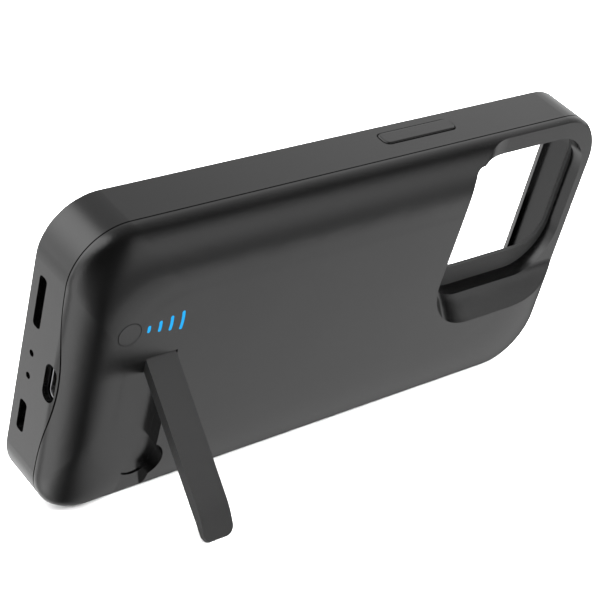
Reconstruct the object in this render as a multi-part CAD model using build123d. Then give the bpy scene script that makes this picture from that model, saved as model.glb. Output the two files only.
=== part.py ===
from build123d import *
import math
import os

# A slim battery case for a phone, standing on its fold-out leg.
# It is drawn lying on its face: X runs from the port end to the camera end,
# Y from the lower long side to the upper one, Z from the front lip to the back.
# All sizes are in millimetres. The last section leans it back onto its leg.

# The phone that the case takes
phone_length = 146.7
phone_width = 71.5
phone_depth = 7.7
phone_corner = 10.4
phone_clearance = 0.15

# Walls of the bumper frame round the phone
side_wall = 2.4
port_wall = 4.2
camera_wall = 2.1
lip_depth = 1.6
lip_overlap = 1.4
lip_slope = 25.0
front_round = 0.5
corner_radius = 13.0

# Where tray, frame and cover meet
tray_thickness = 1.0
ledge_width = 0.7
tongue_depth = 1.2
tongue_thickness = 1.2
fit_clearance = 0.1
seam_gap = 0.3
hump_rise = 2.5
hump_half_span = 25.0
hump_offset = 0.4

# Battery and its room
battery_length = 71.0
battery_width = 56.0
battery_depth = 5.2
battery_round = 1.6
battery_gap = 0.6
battery_end_gap = 0.8
pad_thickness = 0.3
pad_width = 14.0
pad_pitch = 30.0
pad_margin = 3.0
rib_height = 1.5
rib_thickness = 0.9

# Back cover
cover_wall = 1.4
side_inset = 18.0
port_inset = 14.7
camera_inset = 21.0
shoulder_height = 5.5
shoulder_fade_ratio = 3.0
shoulder_steps = 10
contact_steps = 400
cavity_inset = 9.3
cavity_camera_inset = 13.3
inner_wall = 1.3

# Camera corner of the back cover
window_right_rim = 3.0
window_top_rim = 4.9
window_round = 12.0
window_left_round = 2.0
window_top_shift = 2.0
rim_drop = 3.9
rim_rise_lead = 3.5
rim_rise_run = 13.0
ramp_foot = 30.2
ramp_run = 7.1
ramp_foot_round = 12.0
ramp_top_round = 15.5
ramp_blend = 8.0
ramp_blend_steps = 3
camera_hole_length = 38.0
camera_hole_width = 35.5
camera_hole_round = 8.0
camera_hole_end_rim = 4.1
camera_hole_top_rim = 5.2

# Sound openings in the port end
long_slot_length = 12.9
long_slot_offset = 15.9
short_slot_length = 8.3
short_slot_offset = -15.0
slot_width = 2.75
slot_round = 0.9
slot_height = 4.3
pin_hole_diameter = 1.6
pin_hole_offsets = (-3.7, 2.4)

# Charging inlet
inlet_width = 8.94
inlet_height = 3.26
inlet_length = 6.5
inlet_sheet = 0.3
inlet_recess = 1.8
inlet_clearance = 0.35
inlet_tongue_width = 6.6
inlet_tongue_thickness = 0.7
inlet_tongue_length = 4.4
inlet_tongue_setback = 0.8
inlet_tongue_round = 0.2

# Plug that enters the phone
plug_width = 8.25
plug_height = 2.4
plug_reach = 6.6
plug_sheet = 0.3
holder_width = 13.0
holder_height = 4.8
holder_depth = 1.8
plug_board_width = 17.0
plug_board_height = 4.2
plug_board_thickness = 0.6
plug_board_shift = -1.7
flex_width = 2.6
flex_gap = 0.5
flex_thickness = 0.18
flex_bend = 0.6
flex_landing = 4.0

# Control board
board_length = 24.0
board_width = 50.0
board_thickness = 0.8
board_standoff = 0.9
board_end_gap = 0.6
post_diameter = 3.0
post_inset_x = 3.0
post_inset_y = 3.0
screw_head_diameter = 2.4
screw_head_height = 0.7
screw_shank_diameter = 1.2
screw_shank_length = 1.5
chip_size = 5.0
chip_height = 0.9
chip_inset = 8.0
coil_size = 6.0
coil_height = 1.4
coil_corner = 1.2
coil_from_edge = 8.4
capacitor_length = 2.0
capacitor_width = 1.25
capacitor_height = 0.9
capacitor_count = 4
capacitor_pitch = 2.4
lead_width = 3.0
lead_thickness = 0.15
lead_pitch = 8.0
lead_lap = 3.0
lead_room = 3.5

# Check button, its switch and the charge lights
button_from_port = 13.6
button_from_lower = 51.8
button_diameter = 5.5
button_clearance = 0.15
button_flange_diameter = 6.7
button_flange_thickness = 0.9
button_stem_diameter = 2.4
button_seat_gap = 0.05
switch_size = 4.5
switch_height = 0.9
plunger_diameter = 2.0
plunger_length = 1.0
plunger_proud = 0.7
plunger_clearance = 0.1
button_travel = 0.3
light_count = 4
light_first_radius = 4.85
light_pitch = 2.87
light_first_length = 1.85
light_growth = 1.05
light_width = 0.75
light_clearance = 0.05
guide_width = 6.4
guide_thickness = 1.0
guide_margin = 0.4
light_stem_diameter = 1.3
led_length = 1.6
led_width = 0.8
led_height = 0.6
led_gap = 0.15

# Fold-out leg and its hinge
leg_from_port = 23.4
leg_width = 7.8
leg_thickness = 2.5
leg_tip = 1.4
leg_tip_round = 0.3
leg_curve_start = 9.5
leg_curve_radius = 19.0
leg_foot_round = 2.0
leg_open_angle = 51.0
leg_side_clearance = 0.2
leg_floor_clearance = 0.35
heel_clearance = 0.05
hinge_from_lower = 42.35
hinge_pin_diameter = 1.2
hinge_pin_clearance = 0.05
hinge_boss_width = 2.4
hinge_boss_reach = 2.2
hinge_press_clearance = 0.02
nail_notch_radius = 5.5
nail_notch_from_lower = 11.4
nail_notch_offset = 1.2
nail_notch_depth = 3.2

# Side keys
key_width = 4.1
key_height = 5.0
key_proud = 0.3
key_round = 1.4
key_edge_round = 0.4
key_clearance = 0.3
key_flange = 0.9
key_flange_thickness = 0.9
key_seat_gap = 0.05
power_key_length = 22.0
power_key_place = 97.0
volume_key_length = 11.0
volume_up_place = 110.5
volume_down_place = 96.5
mute_slot_length = 9.5
mute_slot_width = 4.2
mute_slot_round = 1.6
mute_slot_place = 124.5

# Sizes that follow from the ones above
overshoot = 2.0
bay_length = phone_length + 2 * phone_clearance
bay_width = phone_width + 2 * phone_clearance
bay_depth = phone_depth + 2 * phone_clearance
bay_corner = phone_corner + phone_clearance
bay_back = lip_depth + bay_depth
case_length = port_wall + bay_length + camera_wall
case_width = bay_width + 2 * side_wall
middle = case_width / 2
bay_centre = port_wall + bay_length / 2
tray_back = bay_back + tray_thickness
seam_height = tray_back + tongue_depth
case_depth = tray_back + pad_thickness + battery_depth + battery_gap + cover_wall
shoulder_foot = case_depth - shoulder_height
cavity_back = case_depth - cover_wall
rim_level = case_depth - rim_drop
tongue_outer = ledge_width - fit_clearance
tongue_inner = tongue_outer - tongue_thickness
cavity_port_end = port_wall - tongue_inner
window_right = case_length - window_right_rim
window_top = case_width - window_top_rim
plug_height_place = lip_depth + bay_depth / 2
board_front = tray_back + board_standoff
board_back = board_front + board_thickness
board_start = cavity_port_end + board_end_gap
board_end = board_start + board_length
inlet_height_place = board_front + board_thickness / 2
inlet_end = inlet_recess + inlet_length
battery_start = board_end + lead_room
window_left = battery_start + battery_length + battery_end_gap + inner_wall
battery_front = tray_back + pad_thickness
knuckle_radius = leg_thickness / 2
hinge_height = case_depth - knuckle_radius
slot_half_width = leg_width / 2 + leg_side_clearance
hinge_pin_length = 2 * (slot_half_width + hinge_boss_width)
flex_place = middle - holder_width / 2 - flex_gap - flex_width / 2
coil_place = middle - board_width / 2 + coil_from_edge


def outline(length, width, radius, x_centre, height):
    """Rounded rectangle across the case at one height."""
    return Pos(x_centre, middle, height) * RectangleRounded(length, width, radius)


def bay_outline(grow, height):
    """Outline of the phone bay, grown all round."""
    return outline(bay_length + 2 * grow, bay_width + 2 * grow, bay_corner + grow, bay_centre, height)


def shoulder_points(steps):
    """Points up a shoulder of unit size, as pull and rise: upright at its foot, fading into the flat top."""
    angles = [math.radians(90 * step / steps) for step in range(steps + 1)]
    return [(1 - math.cos(angle) ** (2 / shoulder_fade_ratio), math.sin(angle)) for angle in angles]


def shoulders(block, foot, top, at_port, at_camera, at_sides):
    """Crowned block whose sides curve in from foot to top, each by its own inset."""
    length, width, radius, x_centre = block
    sections = []
    for pull, rise in shoulder_points(shoulder_steps):
        height = foot + (top - foot) * rise
        level_length = length - (at_port + at_camera) * pull
        level_centre = x_centre + (at_port - at_camera) * pull / 2
        sections.append(outline(level_length, width - 2 * at_sides * pull, radius, level_centre, height))
    return loft(sections)


def outer_body():
    """The whole outside of the case, from the front edge to the crowned back."""
    band = extrude(outline(case_length, case_width, corner_radius, case_length / 2, 0), shoulder_foot)
    band = fillet(band.edges().group_by(Axis.Z)[0], front_round)
    block = (case_length, case_width, corner_radius, case_length / 2)
    crown = shoulders(block, shoulder_foot, case_depth, port_inset, camera_inset, side_inset)
    return band + crown


def hump(gap):
    """Raised stretch of the frame at the port end, which holds the inlet."""
    centre = middle + hump_offset
    left = centre - hump_half_span
    right = centre + hump_half_span
    first = TangentArc((left, 0), (centre - hump_half_span / 2, hump_rise / 2), tangent=(1, 0))
    crest = TangentArc(first @ 1, (centre + hump_half_span / 2, hump_rise / 2), tangent=first % 1)
    last = TangentArc(crest @ 1, (right, 0), tangent=crest % 1)
    base = Polyline((right, 0), (right, -overshoot), (left, -overshoot), (left, 0))
    profile = make_face(first + crest + last + base)
    depth = port_wall - ledge_width + overshoot - fit_clearance
    return Pos(-overshoot, 0, seam_height + gap) * extrude(Plane.YZ * profile, depth)


def frame_zone(gap):
    """Everything on the front side of the parting line."""
    slab = Box(
        case_length + 2 * overshoot, case_width + 2 * overshoot, seam_height + gap + overshoot,
        align=(Align.MIN, Align.MIN, Align.MIN)
    )
    return Pos(-overshoot, -overshoot, -overshoot) * slab + hump(gap)


def along_port(length, width, radius, place, height, start, reach):
    """Rounded bar along X that cuts or fills an opening in the port end."""
    section = Plane.YZ * Pos(place, height) * RectangleRounded(length, width, radius)
    return Pos(start, 0, 0) * extrude(section, reach)


def stadium_bar(width, height, place_y, place_z, start, reach):
    """Bar along X with fully rounded sides, as the shell of a plug has."""
    section = Plane.YZ * Pos(place_y, place_z) * SlotOverall(width, height)
    return Pos(start, 0, 0) * extrude(section, reach)


def key_bar(length, width, radius, place, start, reach):
    """Rounded bar along Y that cuts or fills the window of a side key."""
    section = Pos(place, key_height, 0) * RectangleRounded(length, width, radius)
    upright = Plane(origin=(0, start, 0), x_dir=(1, 0, 0), z_dir=(0, -1, 0))
    return extrude(upright * section, -reach)


def key_places():
    """Each side key with its length, its place and whether it is on the upper side."""
    return {
        "power_key": (power_key_length, power_key_place, True),
        "volume_up_key": (volume_key_length, volume_up_place, False),
        "volume_down_key": (volume_key_length, volume_down_place, False),
    }


def on_upper_side(shape):
    """The same piece on the upper long side."""
    return mirror(shape, Plane.XZ.offset(-middle))


def key_window(length, place):
    """Opening for a side key in the lower wall, stepped for its flange."""
    flange_room = key_flange + key_clearance
    through = key_bar(
        length + 2 * key_clearance, key_width + 2 * key_clearance, key_round + key_clearance,
        place, -overshoot, side_wall + 2 * overshoot
    )
    step = key_bar(
        length + 2 * flange_room, key_width + 2 * flange_room, key_round + flange_room,
        place, side_wall - key_flange_thickness - key_seat_gap, overshoot
    )
    return through + step


def side_key(length, place):
    """Key with its flange behind the lower wall."""
    cap = key_bar(
        length, key_width, key_round, place, -key_proud, key_proud + side_wall - key_flange_thickness
    )
    cap = fillet(cap.edges().group_by(Axis.Y)[0], key_edge_round)
    flange = key_bar(
        length + 2 * key_flange, key_width + 2 * key_flange, key_round + key_flange,
        place, side_wall - key_flange_thickness, key_flange_thickness
    )
    return cap + flange


def bumper_frame():
    """Ring round the phone with the front lip and the thick port end."""
    frame = outer_body() & frame_zone(0)
    frame -= extrude(bay_outline(0, lip_depth), case_depth)
    frame -= extrude(bay_outline(ledge_width, bay_back), case_depth)
    front_edge = lip_overlap - lip_depth * math.tan(math.radians(lip_slope))
    opening = loft([bay_outline(-front_edge, 0), bay_outline(-lip_overlap, lip_depth)], ruled=True)
    frame -= opening
    for length, offset in ((long_slot_length, long_slot_offset), (short_slot_length, short_slot_offset)):
        frame -= along_port(
            length, slot_width, slot_round, middle + offset, slot_height,
            -overshoot, port_wall + 2 * overshoot
        )
    pocket_start = port_wall - holder_depth - plug_board_thickness - fit_clearance
    for offset in pin_hole_offsets:
        drill = Pos(-overshoot, middle + offset, slot_height) * Rot(0, 90, 0) * Cylinder(
            pin_hole_diameter / 2, pocket_start + overshoot + fit_clearance,
            align=(Align.CENTER, Align.CENTER, Align.MIN)
        )
        frame -= drill
    frame -= stadium_bar(
        inlet_width + 2 * inlet_clearance, inlet_height + 2 * inlet_clearance, middle, inlet_height_place,
        -overshoot, port_wall + 2 * overshoot
    )
    frame -= along_port(
        holder_width + 2 * fit_clearance, holder_height + 2 * fit_clearance, slot_round,
        middle, plug_height_place, pocket_start, port_wall
    )
    frame -= along_port(
        plug_board_width + 2 * fit_clearance, plug_board_height + 2 * fit_clearance, slot_round / 2,
        middle + plug_board_shift, plug_height_place, pocket_start, port_wall
    )
    channel_height = seam_height + hump_rise - plug_height_place
    channel = Box(
        port_wall, flex_width + 2 * flex_bend, channel_height - hump_rise / 2,
        align=(Align.MIN, Align.CENTER, Align.MIN)
    )
    frame -= Pos(pocket_start, flex_place, plug_height_place) * channel
    for length, place, upper in key_places().values():
        window = key_window(length, place)
        frame -= on_upper_side(window) if upper else window
    frame -= key_bar(
        mute_slot_length, mute_slot_width, mute_slot_round, mute_slot_place,
        -overshoot, side_wall + 2 * overshoot
    )
    return frame


def phone_tray():
    """Plate between phone and battery, with posts for the board and ribs for the cell."""
    tray = extrude(bay_outline(tongue_outer, bay_back), tray_thickness)
    hole_x = case_length - camera_hole_end_rim - camera_hole_length / 2
    hole_y = case_width - camera_hole_top_rim - camera_hole_width / 2
    hole = RectangleRounded(camera_hole_length, camera_hole_width, camera_hole_round)
    tray -= Pos(hole_x, hole_y, 0) * extrude(hole, case_depth)
    notch = Box(
        2 * inlet_end + 2 * fit_clearance, inlet_width + 2 * fit_clearance, case_depth,
        align=(Align.CENTER, Align.CENTER, Align.MIN)
    )
    tray -= Pos(0, middle, 0) * notch
    flex_notch = Box(
        2 * (port_wall + fit_clearance), flex_width + 2 * flex_bend, case_depth,
        align=(Align.CENTER, Align.CENTER, Align.MIN)
    )
    tray -= Pos(0, flex_place, 0) * flex_notch
    for x, y in post_places():
        post = Cylinder(post_diameter / 2, board_standoff, align=(Align.CENTER, Align.CENTER, Align.MIN))
        hole = Cylinder(screw_shank_diameter / 2, case_depth)
        tray += Pos(x, y, tray_back) * post
        tray -= Pos(x, y, tray_back) * hole
    rib = Box(rib_thickness, battery_width, rib_height, align=(Align.MAX, Align.CENTER, Align.MIN))
    tray += Pos(battery_start - fit_clearance, middle, tray_back) * rib
    return tray


def post_places():
    """Corners of the board where it is screwed down."""
    places = []
    for x in (board_start + post_inset_x, board_end - post_inset_x):
        for side in (-1, 1):
            places.append((x, middle + side * (board_width / 2 - post_inset_y)))
    return places


def ramp_levels():
    """Points up the ramp, as rise and run: a soft bend at its foot, then a straight slope past its top."""
    slope = math.atan2(rim_drop, ramp_run)
    lead = ramp_blend * math.tan(slope / 2)
    levels = []
    for step in range(ramp_blend_steps + 1):
        angle = slope * step / ramp_blend_steps
        levels.append((ramp_blend * (1 - math.cos(angle)), ramp_blend * math.sin(angle) - lead))
    bend_rise = levels[-1][0]
    for step in range(1, ramp_blend_steps + 1):
        rise = bend_rise + (rim_drop + overshoot - bend_rise) * step / ramp_blend_steps
        levels.append((rise, rise * ramp_run / rim_drop))
    return levels


def camera_scoop(grow):
    """Lowered corner of the back: upright left wall, flat rim and a ramp below."""
    widening = (ramp_top_round - ramp_foot_round) / rim_drop
    right = case_length + overshoot
    top = case_width + overshoot
    sections = []
    for rise, run in ramp_levels():
        low = ramp_foot - run - grow
        corners = ((window_edge(low) - grow, low), (right, low), (right, top), (window_edge(top) - grow, top))
        patch = make_face(Polyline(*corners, close=True))
        corner = patch.vertices().sort_by(Axis.X)[:2].sort_by(Axis.Y)[0]
        patch = fillet(corner, ramp_foot_round + widening * rise + grow)
        sections.append(Pos(0, 0, rim_level + rise - grow) * patch)
    return loft(sections)


def window_edge(y):
    """Place along X of the window's left edge, which slants a little to the camera end as it goes up."""
    return window_left + window_top_shift * (y - ramp_foot) / (window_top - ramp_foot)


def rim_rise():
    """Smooth rise of the top rim to the level of the back, above the window's upper left corner."""
    start_x = window_edge(window_top) - rim_rise_lead
    end_x = window_left + rim_rise_run
    half_way = ((start_x + end_x) / 2, rim_level + rim_drop / 2)
    first = TangentArc((start_x, case_depth), half_way, tangent=(1, 0))
    last = TangentArc(first @ 1, (end_x, rim_level), tangent=first % 1)
    base = Polyline(
        (end_x, rim_level), (end_x, rim_level - overshoot),
        (start_x, rim_level - overshoot), (start_x, case_depth)
    )
    profile = make_face(first + last + base)
    start = window_top - window_left_round
    return Pos(0, start, 0) * extrude(Plane.XZ * profile, start - case_width - overshoot)


def camera_surround():
    """Walls round the window, from the tray up, joined to the outer walls on two sides."""
    length = case_length - window_left + inner_wall
    width = case_width - ramp_foot + inner_wall
    block = Box(length, width, case_depth, align=(Align.MAX, Align.MAX, Align.MIN))
    return Pos(case_length, case_width, tray_back - overshoot) * block


def camera_window():
    """Opening through the lowered corner down to the tray."""
    corners = (
        (window_left, ramp_foot), (window_right, ramp_foot), (window_right, window_top),
        (window_edge(window_top), window_top)
    )
    patch = make_face(Polyline(*corners, close=True))
    upper_left = patch.vertices().sort_by(Axis.X)[:2].sort_by(Axis.Y)[1]
    patch = fillet(upper_left, window_left_round)
    right = patch.vertices().sort_by(Axis.X)[-2:]
    patch = fillet(right, window_round)
    lower_left = patch.vertices().group_by(Axis.Y)[0].sort_by(Axis.X)[0]
    patch = fillet(lower_left, ramp_foot_round)
    return Pos(0, 0, tray_back - overshoot) * extrude(patch, case_depth)


def leg_slot(grow):
    """Recess that the folded leg lies in, open at the lower edge of the back, with a notch for a nail."""
    floor = case_depth - leg_thickness - leg_floor_clearance - grow
    end_wall = hinge_from_lower + knuckle_radius + heel_clearance + grow
    slot = Box(
        2 * (slot_half_width + grow), end_wall + overshoot, case_depth + overshoot - floor,
        align=(Align.CENTER, Align.MIN, Align.MIN)
    )
    slot = Pos(leg_from_port, -overshoot, floor) * slot
    notch = Cylinder(
        nail_notch_radius + grow, nail_notch_depth + grow + overshoot,
        align=(Align.CENTER, Align.CENTER, Align.MIN)
    )
    notch_x = leg_from_port + nail_notch_offset
    return slot + Pos(notch_x, nail_notch_from_lower, case_depth - nail_notch_depth - grow) * notch


def hinge_bar(diameter, length):
    """Round bar on the hinge line."""
    bar = Rot(0, 90, 0) * Cylinder(diameter / 2, length)
    return Pos(leg_from_port, hinge_from_lower, hinge_height) * bar


def light_arc(index, grow, depth):
    """One curved bar of the charge lights, on a circle round the check button."""
    radius = light_first_radius + index * light_pitch
    half_width = light_width / 2
    length = light_first_length + index * light_growth
    half_angle = math.degrees((length / 2 - half_width) / radius)
    arc = CenterArc((0, 0), radius, -half_angle, 2 * half_angle)
    bar = trace(arc, light_width + 2 * grow)
    ends = Sketch() + [Pos(arc @ end) * Circle(half_width + grow) for end in (0, 1)]
    return extrude(bar + ends, depth)


def back_cover():
    """Crowned shell over battery and board, with camera corner and leg slot."""
    cover = outer_body() - frame_zone(seam_gap)
    cover += extrude(bay_outline(tongue_outer, tray_back), tongue_depth + seam_gap)
    cavity = extrude(bay_outline(tongue_inner, tray_back - overshoot), tongue_depth + overshoot)
    room = (
        bay_length + 2 * tongue_inner, bay_width + 2 * tongue_inner, bay_corner + tongue_inner, bay_centre
    )
    cavity += shoulders(room, seam_height, cavity_back, cavity_inset, cavity_camera_inset, cavity_inset)
    cavity -= camera_scoop(inner_wall)
    cavity -= camera_surround()
    cavity -= leg_slot(inner_wall)
    boss = Box(
        hinge_pin_length, 2 * hinge_boss_reach, knuckle_radius + hinge_boss_reach,
        align=(Align.CENTER, Align.CENTER, Align.MAX)
    )
    cavity -= Pos(leg_from_port, hinge_from_lower, case_depth) * boss
    cover -= cavity
    cover -= camera_scoop(0) - rim_rise()
    cover -= camera_window()
    cover -= leg_slot(0)
    cover -= hinge_bar(hinge_pin_diameter + 2 * hinge_press_clearance, hinge_pin_length)
    button_hole = Cylinder(button_diameter / 2 + button_clearance, 2 * cover_wall + overshoot)
    cover -= Pos(button_from_port, button_from_lower, case_depth) * button_hole
    flange_room = Cylinder(
        button_flange_diameter / 2 + button_clearance, button_flange_thickness + 2 * button_travel,
        align=(Align.CENTER, Align.CENTER, Align.MAX)
    )
    cover -= Pos(button_from_port, button_from_lower, cavity_back) * flange_room
    for index in range(light_count):
        finger = light_arc(index, light_clearance, cover_wall + overshoot)
        cover -= Pos(button_from_port, button_from_lower, cavity_back - overshoot / 2) * finger
    tongue_notch = Box(
        2 * (inlet_end + fit_clearance), inlet_width + 2 * inlet_clearance,
        2 * (inlet_height_place + inlet_height / 2 + inlet_clearance - tray_back)
    )
    cover -= Pos(0, middle, tray_back) * tongue_notch
    flex_notch = Box(2 * (cavity_port_end + fit_clearance), flex_width + 2 * flex_bend, 2 * board_standoff)
    cover -= Pos(0, flex_place, tray_back) * flex_notch
    return cover


def battery_cell():
    """Soft pack cell with rounded long edges."""
    cell = Box(battery_length, battery_width, battery_depth, align=(Align.MIN, Align.CENTER, Align.MIN))
    cell = fillet(cell.edges().filter_by(Axis.X), battery_round)
    return Pos(battery_start, middle, battery_front) * cell


def battery_pad():
    """Two strips of foam tape that hold the cell to the tray."""
    length = battery_length - 2 * pad_margin
    strip = Box(length, pad_width, pad_thickness, align=(Align.MIN, Align.CENTER, Align.MIN))
    start = Pos(battery_start + pad_margin, middle, tray_back)
    return Part() + [start * Pos(0, side * pad_pitch / 2, 0) * strip for side in (-1, 1)]


def battery_leads():
    """Two flat tabs from the cell to the board."""
    length = lead_lap + lead_room
    strip = Box(length, lead_width, lead_thickness, align=(Align.MIN, Align.CENTER, Align.MIN))
    place = Pos(board_end - lead_lap, middle, board_back)
    return Part() + [place * Pos(0, side * lead_pitch / 2, 0) * strip for side in (-1, 1)]


def control_board():
    """Circuit board, cut out round the inlet."""
    board = Box(board_length, board_width, board_thickness, align=(Align.MIN, Align.CENTER, Align.MIN))
    board = Pos(board_start, middle, board_front) * board
    notch = Box(
        2 * (inlet_end + fit_clearance), inlet_width + 2 * fit_clearance, case_depth,
        align=(Align.CENTER, Align.CENTER, Align.MIN)
    )
    board -= Pos(0, middle, 0) * notch
    hole = Cylinder(screw_shank_diameter / 2 + fit_clearance, 2 * board_thickness)
    for x, y in post_places():
        board -= Pos(x, y, board_front) * hole
    return board


def board_screws():
    """Four small screws through the board into the posts."""
    head = Cylinder(
        screw_head_diameter / 2, screw_head_height, align=(Align.CENTER, Align.CENTER, Align.MIN)
    )
    shank = Cylinder(
        screw_shank_diameter / 2, screw_shank_length, align=(Align.CENTER, Align.CENTER, Align.MAX)
    )
    screw = head + shank
    return Part() + [Pos(x, y, board_back) * screw for x, y in post_places()]


def inlet_shell():
    """Folded metal shell of the charging inlet."""
    shell = stadium_bar(inlet_width, inlet_height, middle, inlet_height_place, inlet_recess, inlet_length)
    bore = stadium_bar(
        inlet_width - 2 * inlet_sheet, inlet_height - 2 * inlet_sheet, middle, inlet_height_place,
        inlet_recess - overshoot, inlet_length + 2 * overshoot
    )
    return shell - bore


def inlet_tongue():
    """Contact blade of the inlet, on the block that closes the shell."""
    block_length = inlet_length - inlet_tongue_length - inlet_tongue_setback
    block = stadium_bar(
        inlet_width - 2 * inlet_sheet, inlet_height - 2 * inlet_sheet, middle, inlet_height_place,
        inlet_end - block_length, block_length
    )
    blade = along_port(
        inlet_tongue_width, inlet_tongue_thickness, inlet_tongue_round, middle, inlet_height_place,
        inlet_end - block_length - inlet_tongue_length, inlet_tongue_length
    )
    return block + blade


def plug_board():
    """Upright board in the port wall that carries the plug."""
    start = port_wall - holder_depth - plug_board_thickness
    board = Box(
        plug_board_thickness, plug_board_width, plug_board_height,
        align=(Align.MIN, Align.CENTER, Align.CENTER)
    )
    return Pos(start, middle + plug_board_shift, plug_height_place) * board


def plug_holder():
    """Moulded block that backs the plug, flush with the end of the bay."""
    start = port_wall - holder_depth
    holder = along_port(
        holder_width, holder_height, slot_round - fit_clearance, middle, plug_height_place,
        start, holder_depth
    )
    plug_way = stadium_bar(plug_width, plug_height, middle, plug_height_place, 0, port_wall + overshoot)
    return holder - plug_way


def phone_plug():
    """Metal shell of the plug, open at the phone's side."""
    start = port_wall - holder_depth
    length = holder_depth + plug_reach
    shell = stadium_bar(plug_width, plug_height, middle, plug_height_place, start, length)
    bore = stadium_bar(
        plug_width - 2 * plug_sheet, plug_height - 2 * plug_sheet, middle, plug_height_place,
        port_wall, plug_reach + overshoot
    )
    return shell - bore


def flex_cable():
    """Flat cable from the plug's board up to the control board."""
    start = port_wall - holder_depth
    top = board_front
    path = FilletPolyline(
        (start + flex_thickness / 2, plug_height_place),
        (start + flex_thickness / 2, top - flex_thickness / 2),
        (board_start + flex_landing, top - flex_thickness / 2),
        radius=flex_bend
    )
    profile = trace(path, flex_thickness)
    upright = Plane(origin=(0, flex_place + flex_width / 2, 0), x_dir=(1, 0, 0), z_dir=(0, -1, 0))
    return extrude(upright * profile, flex_width)


def charge_chip():
    """Controller chip on the board."""
    chip = Box(chip_size, chip_size, chip_height, align=(Align.CENTER, Align.CENTER, Align.MIN))
    return Pos(board_end - chip_inset, middle - chip_inset, board_back) * chip


def boost_coil():
    """Flat power coil on the board."""
    coil = Box(coil_size, coil_size, coil_height, align=(Align.CENTER, Align.CENTER, Align.MIN))
    coil = fillet(coil.edges().filter_by(Axis.Z), coil_corner)
    return Pos(board_start + coil_size, coil_place, board_back) * coil


def board_capacitors():
    """Row of small capacitors beside the coil."""
    block = Box(
        capacitor_length, capacitor_width, capacitor_height, align=(Align.CENTER, Align.CENTER, Align.MIN)
    )
    place = Pos(board_start + 2 * coil_size, coil_place, board_back)
    first = -(capacitor_count - 1) / 2
    offsets = [(first + index) * capacitor_pitch for index in range(capacitor_count)]
    return Part() + [place * Pos(0, offset, 0) * block for offset in offsets]


def light_places():
    """Centre of each charge light along X."""
    return [button_from_port + light_first_radius + index * light_pitch for index in range(light_count)]


def indicator_leds():
    """One small lamp on the board under each charge light."""
    lamp = Box(led_width, led_length, led_height, align=(Align.CENTER, Align.CENTER, Align.MIN))
    return Part() + [Pos(x, button_from_lower, board_back) * lamp for x in light_places()]


def light_guide():
    """Clear moulding with four curved bars that come through the cover."""
    places = light_places()
    length = places[-1] - places[0] + light_width + 2 * guide_margin
    base = Box(length, guide_width, guide_thickness, align=(Align.MIN, Align.CENTER, Align.MAX))
    guide = Pos(places[0] - light_width / 2 - guide_margin, button_from_lower, cavity_back) * base
    for index in range(light_count):
        finger = light_arc(index, 0, cover_wall)
        guide += Pos(button_from_port, button_from_lower, cavity_back) * finger
    stem_length = cavity_back - guide_thickness - board_back - led_height - led_gap
    stem = Cylinder(light_stem_diameter / 2, stem_length, align=(Align.CENTER, Align.CENTER, Align.MAX))
    for x in places:
        guide += Pos(x, button_from_lower, cavity_back - guide_thickness) * stem
    return guide


def check_button():
    """Flush round button with a flange behind the cover and a stem to its switch."""
    flange_back = cavity_back - button_seat_gap
    flange_front = flange_back - button_flange_thickness
    stem_front = board_back + switch_height + plunger_proud
    cap = Cylinder(
        button_diameter / 2, case_depth - flange_front, align=(Align.CENTER, Align.CENTER, Align.MIN)
    )
    flange = Cylinder(
        button_flange_diameter / 2, button_flange_thickness, align=(Align.CENTER, Align.CENTER, Align.MIN)
    )
    stem = Cylinder(
        button_stem_diameter / 2, flange_front - stem_front, align=(Align.CENTER, Align.CENTER, Align.MAX)
    )
    return Pos(button_from_port, button_from_lower, flange_front) * (cap + flange + stem)


def switch_body():
    """Square body of the push switch, open at the top for its plunger."""
    body = Box(switch_size, switch_size, switch_height, align=(Align.CENTER, Align.CENTER, Align.MIN))
    well_depth = plunger_length - plunger_proud + button_travel + plunger_clearance
    well = Cylinder(plunger_diameter / 2 + plunger_clearance, 2 * well_depth)
    return Pos(button_from_port, button_from_lower, board_back) * (body - Pos(0, 0, switch_height) * well)


def switch_plunger():
    """Small plunger of the push switch, under the button's stem."""
    top = board_back + switch_height + plunger_proud
    plunger = Cylinder(plunger_diameter / 2, plunger_length, align=(Align.CENTER, Align.CENTER, Align.MAX))
    return Pos(button_from_port, button_from_lower, top) * plunger


def leg_profile():
    """Side outline of the folded leg: knuckle with its heel, straight stretch and a tip that thins out."""
    sweep = math.degrees(math.asin((leg_curve_start - leg_tip) / leg_curve_radius))
    heel = knuckle_radius * math.tan(math.radians(45 - leg_open_angle / 2))
    bend = CenterArc((leg_curve_start, case_depth - leg_curve_radius), leg_curve_radius, 90, sweep)
    knuckle = CenterArc((hinge_from_lower, hinge_height), knuckle_radius, -90, 90 + leg_open_angle)
    outer_face = Polyline(knuckle @ 1, (hinge_from_lower + heel, case_depth), bend @ 0)
    inner_face = Polyline(bend @ 1, (leg_tip, case_depth - leg_thickness), knuckle @ 0)
    profile = make_face(bend + knuckle + outer_face + inner_face)
    return fillet(profile.vertices().sort_by(Axis.X)[:2], leg_tip_round)


def kickstand_leg():
    """Flat leg on the hinge pin, with rounded foot corners, opened to its stop."""
    start = leg_from_port - leg_width / 2
    leg = Pos(start, 0, 0) * extrude(Plane.YZ * leg_profile(), leg_width)
    foot_reach = hinge_from_lower + overshoot
    plan = Rectangle(leg_width, 2 * foot_reach, align=(Align.CENTER, Align.MIN))
    plan = fillet(plan.vertices().sort_by(Axis.Y)[:2], leg_foot_round)
    leg &= Pos(leg_from_port, leg_tip, 0) * extrude(plan, case_depth + overshoot)
    leg -= hinge_bar(hinge_pin_diameter + 2 * hinge_pin_clearance, hinge_pin_length)
    return leg.rotate(hinge_axis(), -leg_open_angle)


def hinge_axis():
    """Line that the leg turns on."""
    return Axis((leg_from_port, hinge_from_lower, hinge_height), (1, 0, 0))


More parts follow.
